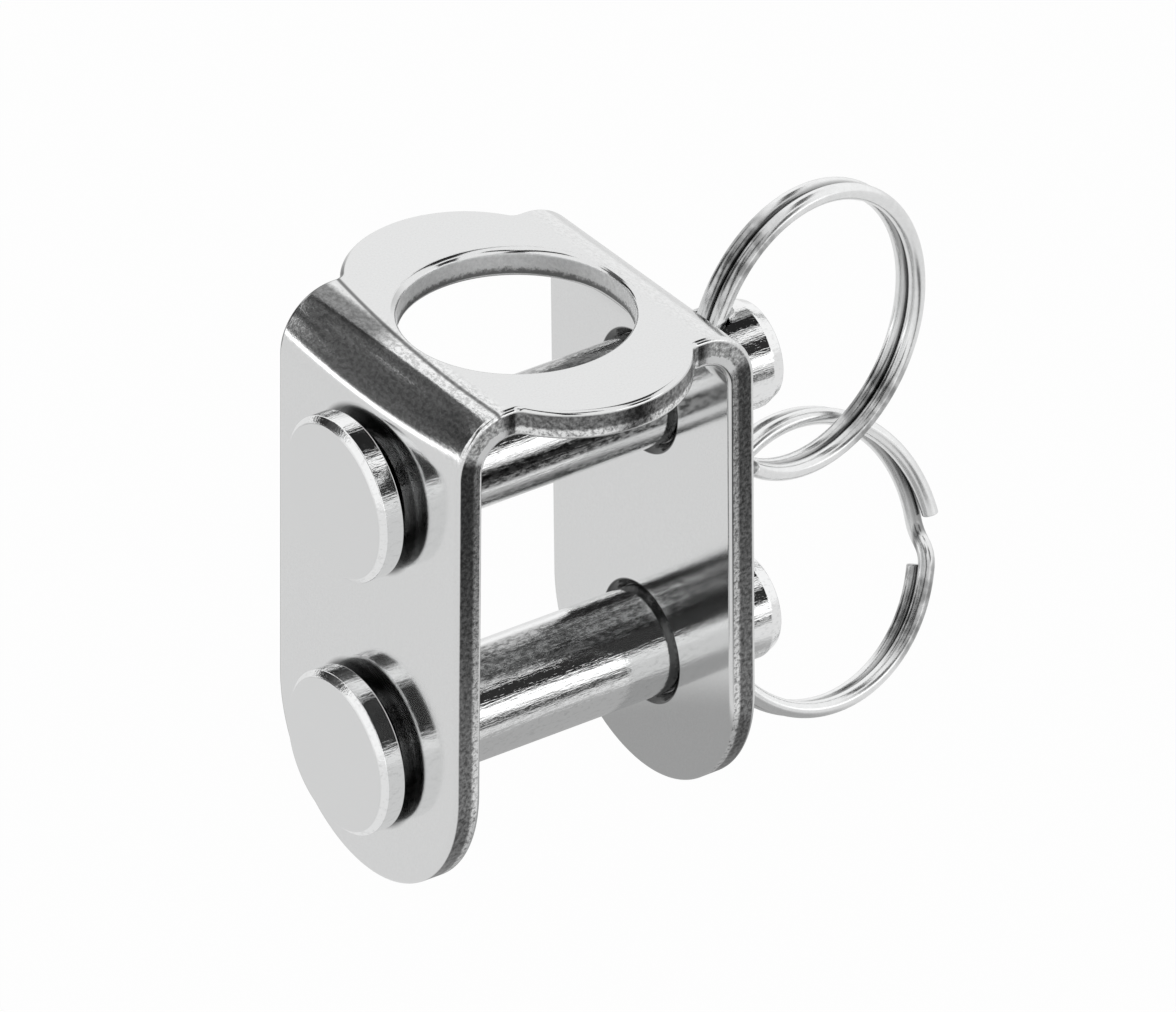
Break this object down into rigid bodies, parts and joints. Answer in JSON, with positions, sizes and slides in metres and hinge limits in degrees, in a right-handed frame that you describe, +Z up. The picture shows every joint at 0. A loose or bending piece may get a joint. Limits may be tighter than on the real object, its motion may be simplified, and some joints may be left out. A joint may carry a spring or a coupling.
{
  "type": "u-shaped rigging adapter",
  "caption": "U-shaped folded strip adapter with a swivel hole in its web, and headed clevis pins with split rings through its legs.",
  "frame": {"origin": "centre of the swivel hole, halfway through the web", "axes": "+X along the clevis pins from their heads to their tails, -Y the front, +Z up out of the web, away from the legs"},
  "size_m": [0.0531, 0.0296, 0.0408],
  "materials": {
    "strip_steel": "polished stainless strip with fine rolling grain, bright rounded edges and striped sheared edges",
    "pin_steel": "turned stainless, bright shank, satin head face",
    "ring_steel": "drawn stainless wire, bright"
  },
  "bodies": {
    "bracket": {"u_bracket": "strip_steel"},
    "upper_pin": {"upper_pin": "pin_steel"},
    "lower_pin": {"lower_pin": "pin_steel"},
    "upper_ring": {"upper_ring": "ring_steel"},
    "lower_ring": {"lower_ring": "ring_steel"}
  },
  "joints": [
    {"name": "upper_pin_turn", "type": "hinge", "parent": "bracket", "child": "upper_pin", "pos_m": [0, 0, -0.0089], "axis": [1, 0, 0], "range_deg": [-90, 0]},
    {"name": "lower_pin_turn", "type": "hinge", "parent": "bracket", "child": "lower_pin", "pos_m": [0, 0, -0.0294], "axis": [1, 0, 0], "range_deg": [-90, 0]},
    {"name": "upper_ring_swing", "type": "hinge", "parent": "upper_pin", "child": "upper_ring", "pos_m": [0.01608, 0, -0.0089], "axis": [0, 0.0436, 0.999], "range_deg": [-109, 0]},
    {"name": "lower_ring_swing", "type": "hinge", "parent": "lower_pin", "child": "lower_ring", "pos_m": [0.01605, 0, -0.0294], "axis": [0, 0.319, 0.9478], "range_deg": [0, 95]}
  ]
}
